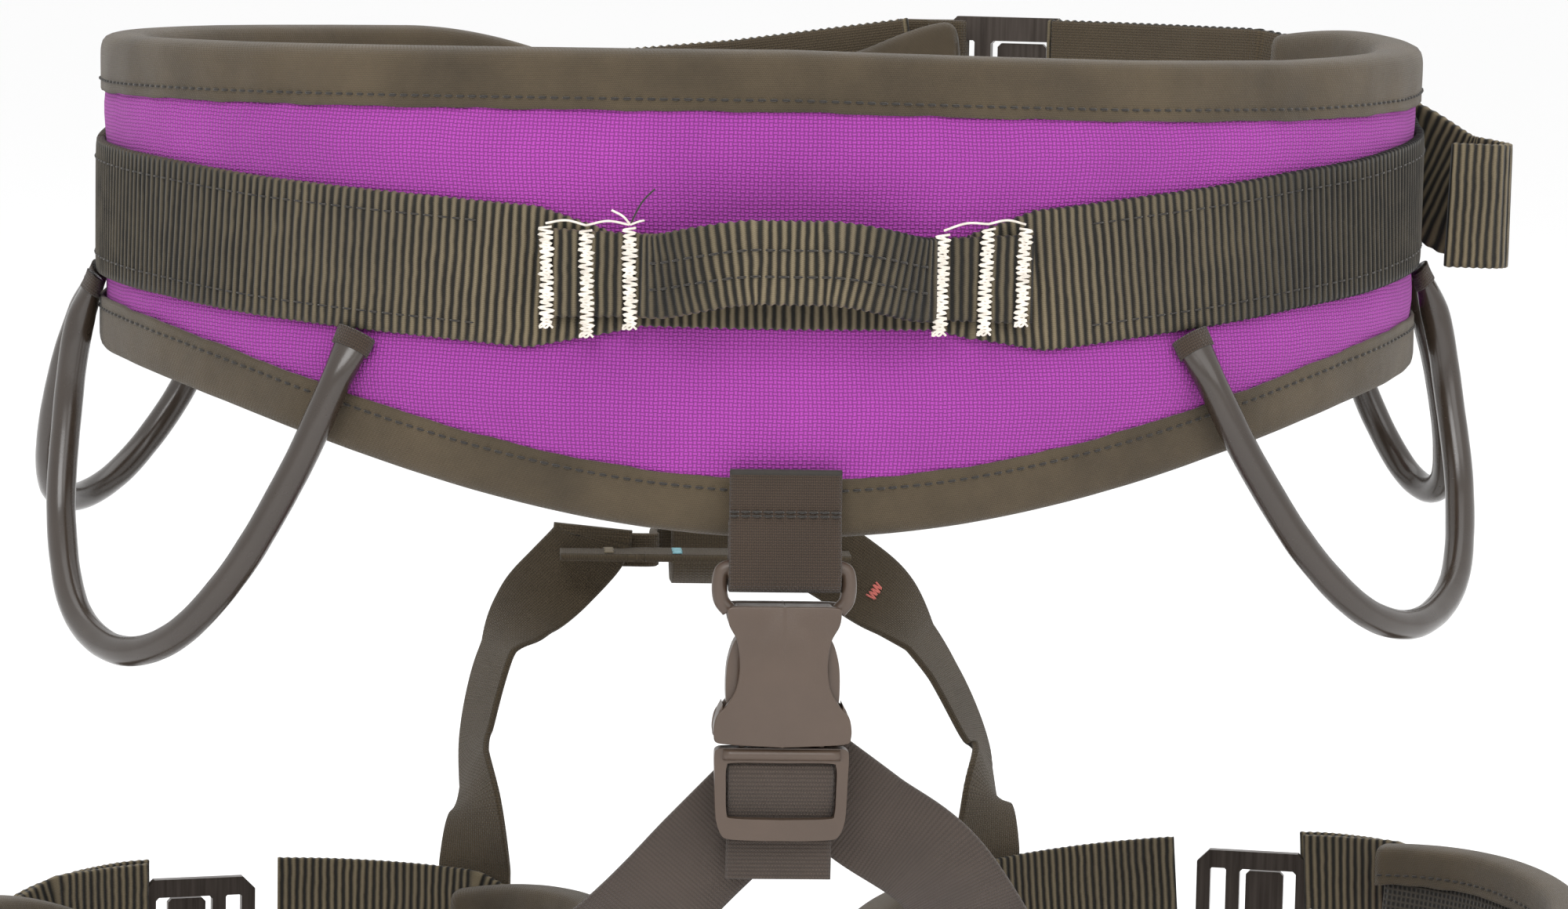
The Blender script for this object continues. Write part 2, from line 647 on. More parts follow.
def belt_bottom(angles):
    turn = np.radians(angles)
    rear = BELT_SIDE + (BELT_REAR - BELT_SIDE) * np.abs(np.cos(turn)) ** 3
    front = BELT_FRONT + (BELT_SIDE - BELT_FRONT) * np.sin(turn) ** 2
    return -np.where(np.abs(angles) < 90.0, rear, front)


def belt_draw_in(angles):
    left = np.clip(1.0 - (angles - PAD_LEFT) / 16.0, 0.0, 1.0)
    right = np.clip(1.0 - (PAD_RIGHT - angles) / 16.0, 0.0, 1.0)
    return 7.0 * left**2 + 3.0 * right**2


def belt_edges(angles):
    angles = np.asarray(angles, float)
    draw = belt_draw_in(angles)
    return np.interp(angles, *TOP_EDGE) - draw, belt_bottom(angles) + draw


def web_level(angles):
    return np.interp(angles, *WEB_PATH)


def web_offset(angles):
    angles = np.asarray(angles, float)
    left = straight(-angles, 163.0, 174.0)
    right = straight(angles, PAD_RIGHT + 2.0, PAD_RIGHT + 14.0)
    over = straight(-angles, 118.0, 134.0) - left + straight(angles, 90.0, 102.0) - right
    return 6.1 + over * 1.6 - (left + right) * 1.4


def leg_levels(side, angles):
    """The leg loop's top edge before its ends draw down, and its bottom edge."""
    angles = np.asarray(angles, float)
    middle = LEGS[side].at(angles, 0.0, 0.0)
    slope = LEG_SLOPES[side] * (np.abs(middle[..., 0]) - LEG_X)
    top = LEG_TOPS[side] + 0.05 * (middle[..., 1] - LEG_Y) + slope
    share = np.clip((angles - LEG_START) / (LEG_END - LEG_START), 0.0, 1.0)
    return top, top - 46.0 - 34.0 * np.sin(np.pi * share)


def leg_edges(side):
    def edges(angles):
        top, bottom = leg_levels(side, angles)
        start = np.maximum(0.0, 1.0 - (angles - LEG_START) / LEG_DRAW_SPAN)
        end = np.maximum(0.0, 1.0 - (LEG_END - angles) / LEG_DRAW_SPAN)
        return top - LEG_DRAWS[side] * start**2 - LEG_DRAW_END * end**2, bottom

    return edges


def leg_web_level(side, angles):
    top, bottom = leg_levels(side, angles)
    front = 1.0 - straight(angles, LEG_START, 75.0) + straight(angles, 300.0, LEG_END)
    return (top + bottom) / 2 + LEG_FRONT_RISE * front


# Padded bands


def pad(name, oval, edges, start, end, half, tape, web, limit, materials, seed):
    """A quilted band: puffed by a short cloth simulation, then kept inside its own space.

    tape is how far the edge tape covers it, web gives the level and half height of the strap that
    presses on it, and limit is the furthest that its two faces may swell.
    """
    spacing = 4.2
    angles = oval.angles(start, end, spacing)
    rows = 19
    top, bottom = edges(angles)
    top = top - 1.4
    bottom = bottom + 1.4
    share = np.linspace(0.0, 1.0, rows)
    share = 0.5 - 0.5 * np.cos(np.pi * share) * (0.75 + 0.25 * np.abs(np.cos(np.pi * share)))
    outer = bottom[:, None] + (top - bottom)[:, None] * share[None]
    inner = outer[:, ::-1]
    grid = np.concatenate([oval.at(angles[:, None], half, outer), oval.at(angles[:, None], -half, inner)], 1)
    made = wrapped(name, grid, oval.arc(angles), np.arange(2 * rows, dtype=float), materials)
    rest = grid.reshape(-1, 3)
    if FINE:
        moved = inflate(made, rest, np.concatenate([share, share[::-1]]), len(angles))
    else:
        moved = rest
    count = 2 * rows
    swell = (moved - rest).reshape(len(angles), count, 3)
    away = oval.out(angles)[:, None]
    lift = (swell * away).sum(-1)
    lift[:, rows:] *= -1.0
    levels = grid[..., 2]
    edge = np.minimum(top[:, None] - levels, levels - bottom[:, None])
    free = ramp(edge, tape - 3.0, tape + 7.0)
    allowed = np.empty_like(lift)
    allowed[:, rows:] = limit * free[:, rows:] + 0.5
    level, reach = web(angles)
    pressed = 1.0 - ramp(np.abs(levels - level[:, None]) - reach, 0.0, 9.0)
    allowed[:, :rows] = (limit * free[:, :rows]) * (1.0 - pressed[:, :rows]) + 0.9
    arc = oval.arc(angles)[:, None]
    crease = ripple(arc + 0.55 * levels, 31.0, 0.5, seed) * ripple(arc - 0.3 * levels, 83.0, 1.0, seed + 1)
    full = allowed * np.tanh(np.maximum(lift, 0.0 if FINE else 1.4) / np.maximum(allowed, 0.1) * 1.3)
    full = np.maximum(full, 0.62 * allowed) + crease * free * (1.0 - 0.8 * pressed)
    sign = np.concatenate([np.ones(rows), -np.ones(rows)])
    final = grid + away * (full * sign[None])[..., None]
    made.data.vertices.foreach_set("co", (final.reshape(-1) * MM).astype(np.float32))
    project_uv(made, oval)
    for face in made.data.polygons:
        face.material_index = 1 if (face.vertices[0] % count) >= rows - 1 and len(face.vertices) == 4 else 0
    finer = made.modifiers.new("finer", "SUBSURF")
    finer.levels = finer.render_levels = 1
    apply_modifiers(made)
    return made


def inflate(made, rest, share, stations):
    """Swells a copy of the mesh as a closed cloth bag, held along its edges and ends."""
    bag = made.copy()
    bag.data = made.data.copy()
    bpy.context.collection.objects.link(bag)
    group = bag.vertex_groups.new(name="held")
    per = len(share)
    for ring in range(stations):
        for corner, part in enumerate(share):
            hold = 1.0 if part < 0.06 or part > 0.94 or ring in (0, stations - 1) else 0.0
            if hold:
                group.add([ring * per + corner], hold, "REPLACE")
    cloth = bag.modifiers.new("cloth", "CLOTH")
    settings = cloth.settings
    settings.vertex_group_mass = "held"
    settings.quality = 6
    settings.mass = 0.12
    settings.tension_stiffness = 22.0
    settings.compression_stiffness = 22.0
    settings.shear_stiffness = 8.0
    settings.bending_stiffness = 0.6
    settings.shrink_min = -0.03
    settings.shrink_max = -0.03
    settings.use_pressure = True
    settings.uniform_pressure_force = 4.0
    settings.effector_weights.gravity = 0.0
    cloth.collision_settings.use_collision = False
    scene = bpy.context.scene
    for step in range(1, 21):
        scene.frame_set(step)
    graph = bpy.context.evaluated_depsgraph_get()
    result = bag.evaluated_get(graph).to_mesh()
    moved = np.empty(len(result.vertices) * 3, np.float32)
    result.vertices.foreach_get("co", moved)
    bpy.data.objects.remove(bag, do_unlink=True)
    scene.frame_set(1)
    moved = moved.reshape(-1, 3).astype(float) / MM
    step = moved - rest
    far = np.linalg.norm(step, axis=1, keepdims=True)
    return rest + step * np.minimum(1.0, 8.0 / np.maximum(far, 1e-6))


def project_uv(made, oval):
    """UVs in real size: length round the oval, and level."""
    mesh = made.data
    points = np.empty(len(mesh.vertices) * 3, np.float32)
    mesh.vertices.foreach_get("co", points)
    points = points.reshape(-1, 3) / MM
    flat = (points[:, :2] - oval.centre) * oval.way / oval.half
    angles = np.degrees(np.arctan2(flat[:, 0], flat[:, 1]))
    if oval is not WAIST:
        angles = angles % 360.0
    uv = np.stack([oval.arc(angles), points[:, 2]], 1) * MM
    index = np.empty(len(mesh.loops), np.int32)
    mesh.loops.foreach_get("vertex_index", index)
    mesh.uv_layers["length"].data.foreach_set("uv", uv[index].astype(np.float32).ravel())


def apply_modifiers(made):
    graph = bpy.context.evaluated_depsgraph_get()
    mesh = bpy.data.meshes.new_from_object(made.evaluated_get(graph), preserve_all_data_layers=True,
                                           depsgraph=graph)
    made.modifiers.clear()
    old = made.data
    made.data = mesh
    mesh.name = old.name
    mesh.polygons.foreach_set("use_smooth", [True] * len(mesh.polygons))
    bpy.data.meshes.remove(old)


def edge_tape(name, oval, edges, start, end, is_top, width, outer, seed):
    """The folded tape that closes an edge, with its two rows of stitching. Returns both pieces."""
    angles = oval.angles(start, end, 2.2)
    top, bottom = edges(angles)
    edge = top if is_top else bottom
    way = -1.0 if is_top else 1.0
    core = outer - 0.45
    line = np.array([(-core, width), (-core - 0.05, 0.72 * width), (-core - 0.1, 0.45 * width),
                     (-core, 0.25 * width), (-0.86 * core, 0.11 * width), (-0.5 * core, 0.05 * width),
                     (0.0, 0.035 * width), (0.5 * core, 0.05 * width), (0.86 * core, 0.11 * width),
                     (core, 0.25 * width), (core + 0.1, 0.45 * width), (core + 0.05, 0.72 * width), (core,
                                                                                                     width)])
    line = smooth(line, width / 13.0)
    going = tangents(line)
    normal = np.stack([going[:, 1], -going[:, 0]], 1)
    if normal[len(line) // 2, 1] > 0:
        normal = -normal
    section = np.concatenate([line + 0.45 * normal, (line - 0.45 * normal)[::-1]])
    arc = oval.arc(angles)
    depth = np.abs(np.concatenate([line[:, 0], line[::-1, 0]])) / core
    free = np.concatenate([line[:, 1], line[::-1, 1]]) / width
    pucker = ripple(arc, 17.0, 0.16, seed)[:, None] * free[None] + ripple(arc, 46.0, 0.22, seed + 3)[:, None]
    offsets = section[None, :, 0] + np.sign(section[None, :, 0]) * pucker * depth[None]
    drop = section[None, :, 1] + ripple(arc, 23.0, 0.22, seed + 5)[:, None] * free[None]
    levels = edge[:, None] + way * drop
    grid = oval.at(angles[:, None], offsets, levels)
    around = np.concatenate([lengths(line), lengths(line)[::-1]])
    made = wrapped(name, grid, arc, around, MATERIALS["tape"])
    runs = []
    row = edge + way * (width - 2.6)
    for face in (1.0, -1.0):
        path = oval.at(angles, face * (core + 0.5) + face * pucker[:, 0] * 0.7, row)
        runs.append(stitch_runs(path, oval.out(angles) * face, 1.9, 0.8, lift=0.25))
    thread = thread_mesh(f"{name}_stitches", np.concatenate(runs), 0.3, MATERIALS["stitch"])
    return made, thread


# Placing pieces


def place(piece, body, slot_name, *nodes):
    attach(piece, body)
    finish_piece(piece, slot_name, *nodes)
    return piece


def finish_piece(piece, slot_name, *nodes):
    if nodes:
        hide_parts(*nodes)


def waist_web(angles):
    level = web_level(angles)
    return level, WEB_WIDTH / 2 + 0.5


def build_waist_belt():
    band = pad("waist_cushion", WAIST, belt_edges, PAD_LEFT + 0.4, PAD_RIGHT - 0.4, PAD_HALF + 0.4,
               TAPE_WIDTH,
               waist_web, 2.6, [MATERIALS["purple"], MATERIALS["lining"]], 11)
    place(band, "waist", "purple_weave", "waist_pad", "waist_shell", "waist_lining")
    for is_top, word in ((True, "top"), (False, "bottom")):
        tape, thread = edge_tape(f"waist_tape_{word}", WAIST, belt_edges, PAD_LEFT, PAD_RIGHT, is_top,
                                 TAPE_WIDTH, 5.95, 21 if is_top else 31)
        place(tape, "waist", "binding", f"waist_binding_{word}")
        place(thread, "waist", "binding")
    for end in (PAD_LEFT, PAD_RIGHT):
        top, bottom = belt_edges(np.array([end]))
        way = 1.0 if end < 0 else -1.0
        levels = np.linspace(bottom[0] + 1.0, top[0] - 1.0, 24)
        fold = []
        for level in levels:
            fold.append([WAIST.at(end + way * 3.4, 5.4, level), WAIST.at(end + way * 0.5, 5.5, level),
                         WAIST.at(end - way * 0.6, 3.6, level), WAIST.at(end - way * 0.9, 0.0, level),
                         WAIST.at(end - way * 0.6, -3.6, level), WAIST.at(end + way * 0.5, -5.5, level),
                         WAIST.at(end + way * 3.4, -5.4, level), WAIST.at(end + way * 3.4, -4.6, level),
                         WAIST.at(end + way * 0.7, -4.4, level), WAIST.at(end + way * 0.2, 0.0, level),
                         WAIST.at(end + way * 0.7, 4.4, level), WAIST.at(end + way * 3.4, 4.6, level)])
        grid = np.array(fold)
        around = np.linspace(0.0, 24.0, 12)
        cover = wrapped(f"waist_end_tape_{'left' if end < 0 else 'right'}", grid, levels, around,
                        MATERIALS["tape"])
        round_off(cover)
        place(cover, "waist", "binding")


def round_off(made, levels=2):
    finer = made.modifiers.new("finer", "SUBSURF")
    finer.levels = finer.render_levels = levels
    apply_modifiers(made)


def build_waist_webbing():
    angles = WAIST.angles(-197.0, 149.5, 1.6)
    narrow = straight(-np.abs(angles), -21.0, -12.0)
    widths = WEB_WIDTH - narrow * 12.5
    path = WAIST.at(angles, web_offset(angles) - 0.1, web_level(angles))
    web = strap("waist_ribbed_web", path, UP, widths, WEB_THICK - 0.2, MATERIALS["rib_waist"], ribs=0.62,
                wave=0.2)
    place(web, "waist", "webbing", "waist_webbing")
    runs = []
    for side in (-1.0, 1.0):
        for start, end in ((-150.0, -25.5), (25.5, 112.0)):
            row = WAIST.angles(start, end, 2.5)
            line = WAIST.at(row, web_offset(row) + WEB_THICK / 2 - 0.05, web_level(row) + side * 11.4)
            runs.append(stitch_runs(line, WAIST.out(row), 2.6, 0.7, lift=0.2))
    thread = thread_mesh("waist_web_stitches", np.concatenate(runs), 0.2, MATERIALS["stitch"])
    place(thread, "waist", "webbing")
    for word, start, end in (("left", -196.5, -163.0), ("right", 121.0, 149.0)):
        row = WAIST.angles(start, end, 2.0)
        line = WAIST.at(row, web_offset(row) - WEB_THICK / 2 - 0.15, web_level(row))
        backing = strap(f"waist_web_backing_{word}", line, UP, WEB_WIDTH - 0.4, 0.5, MATERIALS["smooth_web"],
                        ribs=0.04, pitch=0.9, step=0.3)
        place(backing, "waist", "webbing")


def haul_path():
    outside = 6.1 + WEB_THICK + 0.9
    lift = ((52.0, 0.0, 0.0), (44.0, 0.0, 0.0), (36.0, 0.0, 0.0), (32.0, 0.0, 0.0), (27.0, 0.35, 0.05),
            (19.0, 0.85, 0.55), (13.0, 0.96, 0.85), (8.0, 1.0, 1.0), (4.0, 1.0, 1.0))
    points = []
    for x, up, rise in [(-x, up, rise) for x, up, rise in lift] + list(reversed(lift)):
        angle = np.degrees(np.arcsin(x / WAIST_HALF_WIDTH))
        points.append(WAIST.at(angle, outside + HAUL_PROUD * up, HAUL_LEVEL + HAUL_RISE * rise))
    points = np.array(points)
    middle = points[:, 1].min()
    points[np.abs(points[:, 0]) < 9.0, 1] = middle
    return smooth(points, 0.8)


def build_haul_loop():
    path = haul_path()
    x = path[:, 0]
    widths = 18.5 + 1.0 * ramp(np.abs(x), 34.0, 52.0)
    whole = lengths(path)[-1]

    def curl(wanted):
        return -0.9 * ramp(-np.abs(wanted - whole / 2), -24.0, -10.0)

    loop = strap("haul_arch", path, UP, widths, WEB_THICK - 0.2, MATERIALS["rib_haul"], ribs=0.55, twist=curl,
                 wave=0.2)
    place(loop, "waist", "webbing", "haul_loop")
    runs = []
    for side in (-1.0, 1.0):
        row = path[np.abs(x) < 31.0].copy()
        row[:, 2] += side * 2.9
        out = np.cross(tangents(row), UP)
        runs.append(stitch_runs(row + unit(out) * 1.2, unit(out), 2.2, 0.9, lift=0.2))
    thread = thread_mesh("haul_stitches", np.concatenate(runs), 0.26, MATERIALS["stitch"])
    place(thread, "waist", "webbing")
    build_bartacks()


def zigzag(place_at, height, amp, pitch, seed):
    """Points of one bartack's zigzag, from its foot to its head."""
    rng = np.random.default_rng(abs(seed))
    count = int(height / pitch)
    points = []
    for i in range(count):
        side = amp * (1.0 if i % 2 else -1.0) * rng.uniform(0.82, 1.18)
        up = -height / 2 + i * pitch + rng.uniform(-0.08, 0.08)
        points.append(place_at(side, up, 0.32 + rng.uniform(-0.06, 0.08)))
    return np.array(points)


def thread_path(name, points, radius, material):
    return tube(name, smooth(points, 0.35), radius, material, sides=6)


def build_bartacks():
    """Three white bartacks on each side of the haul loop, with the threads carried between them."""
    outside = 6.1 + WEB_THICK + 0.9 + WEB_THICK / 2
    parts = []
    for side, rows in ((-1, ((-51.0, -50.0, 22.4), (-42.6, -51.0, 24.0), (-33.6, -49.8, 22.4))),
                       (1, ((32.0, -50.2, 22.6), (41.6, -49.4, 24.0), (49.6, -48.5, 22.0)))):
        heads = []
        for x, level, height in rows:
            angle = np.degrees(np.arcsin(x / WAIST_HALF_WIDTH))
            lean = 0.02 * side

            def at(across, up, out, angle=angle, lean=lean, level=level):
                turn = angle + (across + lean * up) / WAIST_HALF_WIDTH * DEGREES_PER_RADIAN
                return WAIST.at(turn, outside + out, level + up)

            seed = 40 + int(x)
            parts.append(thread_path("tack", zigzag(at, height, 1.5, 0.62, seed), 0.3, MATERIALS["white"]))
            parts.append(thread_path("tack", zigzag(at, height - 1.0, 0.7, 0.8, seed + 1), 0.32,
                                     MATERIALS["white"]))
            knot = [at(0.8 * np.cos(1.7 * t) + 0.25 * t - 1.2, -height / 2 - 0.2 + 0.5 * np.sin(2.3 * t), 0.5)
                    for t in np.linspace(0.0, 8.0, 22)]
            parts.append(thread_path("tack", knot, 0.28, MATERIALS["white"]))
            heads.append(at(0.0, height / 2, 0.5))
        for a, b in zip(heads, heads[1:]):
            middle = (a + b) / 2 + np.array([0.0, -0.5, 0.9])
            parts.append(thread_path("tack", [a, middle, b], 0.27, MATERIALS["white"]))
    angle = np.degrees(np.arcsin(-33.6 / WAIST_HALF_WIDTH))
    head = WAIST.at(angle, outside + 0.5, HAUL_LEVEL + 11.2)
    for reach in ((-4.2, -0.8, 3.2), (3.0, -0.6, 1.0)):
        end = head + np.array(reach)
        parts.append(thread_path("tack", [head, (head + end) / 2 + np.array([0.4, -0.7, 0.3]), end], 0.26,
                                 MATERIALS["white"]))
    place(joined("haul_bartacks", parts), "waist", "webbing")
    end = head + np.array([5.2, -1.4, 8.0])
    loose = thread_path("haul_thread_end", [head, head + np.array([1.6, -1.2, 3.6]),
                                            head + np.array([3.0, -1.6, 5.8]), end], 0.2, MATERIALS["stitch"])
    place(loose, "waist", "webbing")


def build_gear_loops():
    settings = {
        "rear_left": (-37.0, -85.0, 79.5, 7.0, -66.5, -61.0),
        "rear_right": (35.5, 86.0, 74.0, 10.0, -64.5, -55.0),
        "front_left": (-94.0, -127.0, 65.0, 21.0, -61.0, -52.5),
        "front_right": (95.0, 116.0, 60.0, 20.0, -54.0, -54.0),
    }
    shape = [(0.0, 0.0, 0.0), (0.04, 0.16, 0.12), (0.11, 0.40, 0.40), (0.23, 0.70, 0.70), (0.38, 0.92, 0.92),
             (0.56, 1.0, 1.0), (0.76, 0.93, 1.0), (0.93, 0.70, 0.86), (1.01, 0.40, 0.56), (1.01, 0.16, 0.22),
             (1.0, 0.0, 0.0)]
    for name, (start, end, depth, flare, first, last) in settings.items():
        inside = 5.95 + GEAR_RADIUS + 0.45
        points = [WAIST.at(start, inside - 2.6, first + 1.2)]
        for share, down, away in shape:
            if share == 0.0 or (share == 1.0 and down == 0.0):
                continue
            points.append(WAIST.at(start + share * (end - start), inside + away * flare,
                                   first + share * (last - first) - down * depth))
        points.append(WAIST.at(end, inside - 2.6, last + 1.2))
        path = smooth(points, 1.4)
        along = lengths(path)
        near = np.minimum(along, along[-1] - along)
        squeeze = 0.5 * (1.0 - ramp(near, 1.0, 12.0))
        radius = GEAR_RADIUS + ripple(along, 19.0, 0.04, 5)
        flat = np.stack([path[:, 0] / WAIST_HALF_WIDTH**2, path[:, 1] / WAIST_HALF_DEPTH**2,
                         0 * path[:, 0]], 1)
        piece = tube(f"gear_tube_{name}", path, radius, MATERIALS["gear"], sides=20,
                     flatten=(squeeze, unit(flat)))
        place(piece, f"gear_{name}", "gear_tube", f"gear_sheath_{name}", f"gear_cord_{name}")
        cuffs = []
        for part in (slice(0, 4), slice(len(path) - 4, None)):
            cuffs.append(tube("cuff", path[part], 3.95, MATERIALS["tab"], sides=20,
                              flatten=(squeeze[part], unit(flat)[part])))
        place(joined(f"gear_cuffs_{name}", cuffs), f"gear_{name}", "gear_cord")


# Buckles


def prism(name, outline, front, back, material, bevel=0.5, holes=(), segments=3):
    """A moulded plate between two Y planes, from an outline in X and Z, with rounded edges."""
    outline = np.asarray(outline, float)
    count = len(outline)
    points = np.concatenate([np.stack([outline[:, 0], np.full(count, y), outline[:, 1]], 1) for y in (front,
                                                                                                      back)])
    faces = [list(range(count)), list(range(2 * count - 1, count - 1, -1))]
    faces += [[i, (i + 1) % count, count + (i + 1) % count, count + i] for i in range(count)]
    made = mesh_object(name, points, faces, material)
    for hole in holes:
        cut(made, hole)
    ease(made, bevel, segments)
    return made


def cut(made, cutter):
    change = made.modifiers.new("cut", "BOOLEAN")
    change.solver = "EXACT"
    change.object = cutter
    apply_modifiers(made)
    bpy.data.objects.remove(cutter, do_unlink=True)


def ease(made, width, segments=3, angle=35.0):
    change = made.modifiers.new("ease", "BEVEL")
    change.width = width * MM
    change.segments = segments
    change.limit_method = "ANGLE"
    change.angle_limit = math.radians(angle)
    change.harden_normals = False
    change.use_clamp_overlap = True
    apply_modifiers(made)
    shade_by_angle(made)


def shade_by_angle(made, degrees=32.0):
    shape = bmesh.new()
    shape.from_mesh(made.data)
    for edge in shape.edges:
        edge.smooth = len(edge.link_faces) == 2 and edge.calc_face_angle(0.0) < math.radians(degrees)
    shape.to_mesh(made.data)
    shape.free()


def mirrored_outline(right, spacing=0.7):
    """A closed outline from its right half, listed from top to bottom."""
    half = even(np.asarray(right, float), spacing)
    return np.concatenate([half, (half * [-1.0, 1.0])[::-1]])


def curve_outline(right, spacing=0.6):
    half = smooth(np.asarray(right, float), spacing)
    return np.concatenate([half, (half * [-1.0, 1.0])[::-1]])


def build_rear_socket():
    """The female half: arms and bar above, two waisted plates, side rails at the mouth."""
    front, back = SOCKET_LOW[1], SOCKET_HIGH[1]
    top, mouth = SOCKET_HIGH[2], SOCKET_LOW[2]
    material = MATERIALS["plastic"]
    body_top = top - 9.6
    right = [(0.0, body_top + 0.4), (6.0, body_top + 0.4), (12.0, body_top + 0.2), (12.6, body_top - 1.2),
             (12.2, -126.5), (10.6, -129.5), (9.9, -133.0), (9.8, -137.0), (10.6, -141.0), (12.6, -144.4),
             (14.6, -146.6), (15.3, -149.4), (15.2, -151.6), (14.4, -152.8), (9.0, -153.3), (0.0,
                                                                                             mouth - 0.1)]
    parts = []
    for near, far in ((front, front + 2.0), (back - 2.0, back)):
        plate = prism("socket_plate", curve_outline(right), near, far, material, bevel=0.75)
        parts.append(plate)
    crown = [(0.0, body_top + 0.2), (10.5, body_top + 0.2), (11.6, body_top - 0.8), (11.4, -126.4),
             (0.0, -126.6)]
    parts.append(prism("socket_core", mirrored_outline(crown), front + 1.0, back - 1.0, material, bevel=0.3))
    for side in (-1, 1):
        rail = [(13.3, -144.2), (14.4, -146.4), (15.15, -149.4), (15.0, -151.8), (14.2, -152.9),
                (13.3, -153.0)]
        rail = smooth(np.array(rail) * [side, 1.0], 0.5)
        parts.append(prism("socket_rail", rail, front + 0.8, back - 0.8, material, bevel=0.25))
        arm = smooth([(side * 12.2, 0.0, body_top - 1.0), (side * 13.9, 0.0, body_top + 1.2),
                      (side * 14.35, 0.0, body_top + 4.4), (side * 13.8, 0.0, top - 1.9),
                      (side * 11.8, 0.0, top - 0.95)], 0.45)
        arm[:, 1] = (front + back) / 2 - 0.6
        parts.append(tube("socket_arm", arm, 1.75, material, sides=14))
    bar = np.array([(x, (front + back) / 2 - 0.6, top - 1.9) for x in np.linspace(-12.6, 12.6, 12)])
    parts.append(tube("socket_bar", bar, 1.8, material, sides=14))
    socket = joined("rear_buckle_socket", parts)
    place(socket, "waist", "buckle_plastic", "rear_socket")


def build_rear_plug():
    front, back = PLUG_LOW[1], PLUG_HIGH[1]
    top, bottom = PLUG_HIGH[2], PLUG_LOW[2]
    material = MATERIALS["plastic"]
    right = [(0.0, top - 0.1), (12.0, top - 0.1), (14.5, top - 0.5), (14.95, top - 2.0), (14.8, top - 7.0),
             (14.6, top - 13.0), (14.2, top - 17.0), (13.0, bottom + 1.1), (11.2, bottom + 0.3), (5.0,
                                                                                                  bottom),
             (0.0, bottom)]
    frame_piece = prism("plug_frame", curve_outline(right), front, back, material, bevel=0.0001, segments=1)
    window = prism("plug_window", curve_outline([(0.0, top - 3.4), (10.6, top - 3.4), (12.2, top - 4.4),
                                                 (12.3, top - 9.0), (12.0, bottom + 6.0), (10.4,
                                                                                           bottom + 5.0),
                                                 (0.0,
                                                  bottom + 4.7)]), front - 2.0, back + 2.0, material, bevel=0.0001,
                   segments=1)
    cut(frame_piece, window)
    ease(frame_piece, 0.85, 4)
    parts = [frame_piece]
    bar = np.array([(x, front + 0.4, top - 1.6) for x in np.linspace(-13.0, 13.0, 14)])
    parts.append(tube("plug_bar", bar, 1.35, material, sides=12))
    rib = np.array([(x, (SOCKET_LOW[1] + SOCKET_HIGH[1]) / 2, z) for x,
                    z in ((0.0, top + 0.0), (0.0, top + 21.0))])
    rib = even(rib, 1.5)
    parts.append(tube("plug_guide", rib, 1.1, material, sides=10))
    plug = joined("rear_buckle_plug", parts)
    place(plug, "rear_plug", "buckle_plastic", "rear_plug")
    for name, side in (("left", -1), ("right", 1)):
        low, high = node_box(f"rear_prong_{name}")
        outline = [(7.2, -153.7), (9.6, -153.7), (9.9, -149.4), (10.6, -146.9), (12.1, -145.6),
                   (12.6, -142.8),
                   (12.6, -137.6), (12.1, -134.0), (10.9, -130.4), (8.8, -128.1), (7.7, -128.4), (8.2,
                                                                                                  -131.2),
                   (9.4, -135.0), (9.7, -140.0), (9.2, -144.5), (7.9, -149.0)]
        outline = smooth(np.array([*outline, outline[0]]) * [side, 1.0], 0.5)[:-1]
        arm = prism(f"rear_buckle_prong_{name}", outline, low[1] + 0.1, high[1] - 0.1, material, bevel=0.6)
        place(arm, f"rear_prong_{name}", "buckle_plastic", f"rear_prong_{name}")


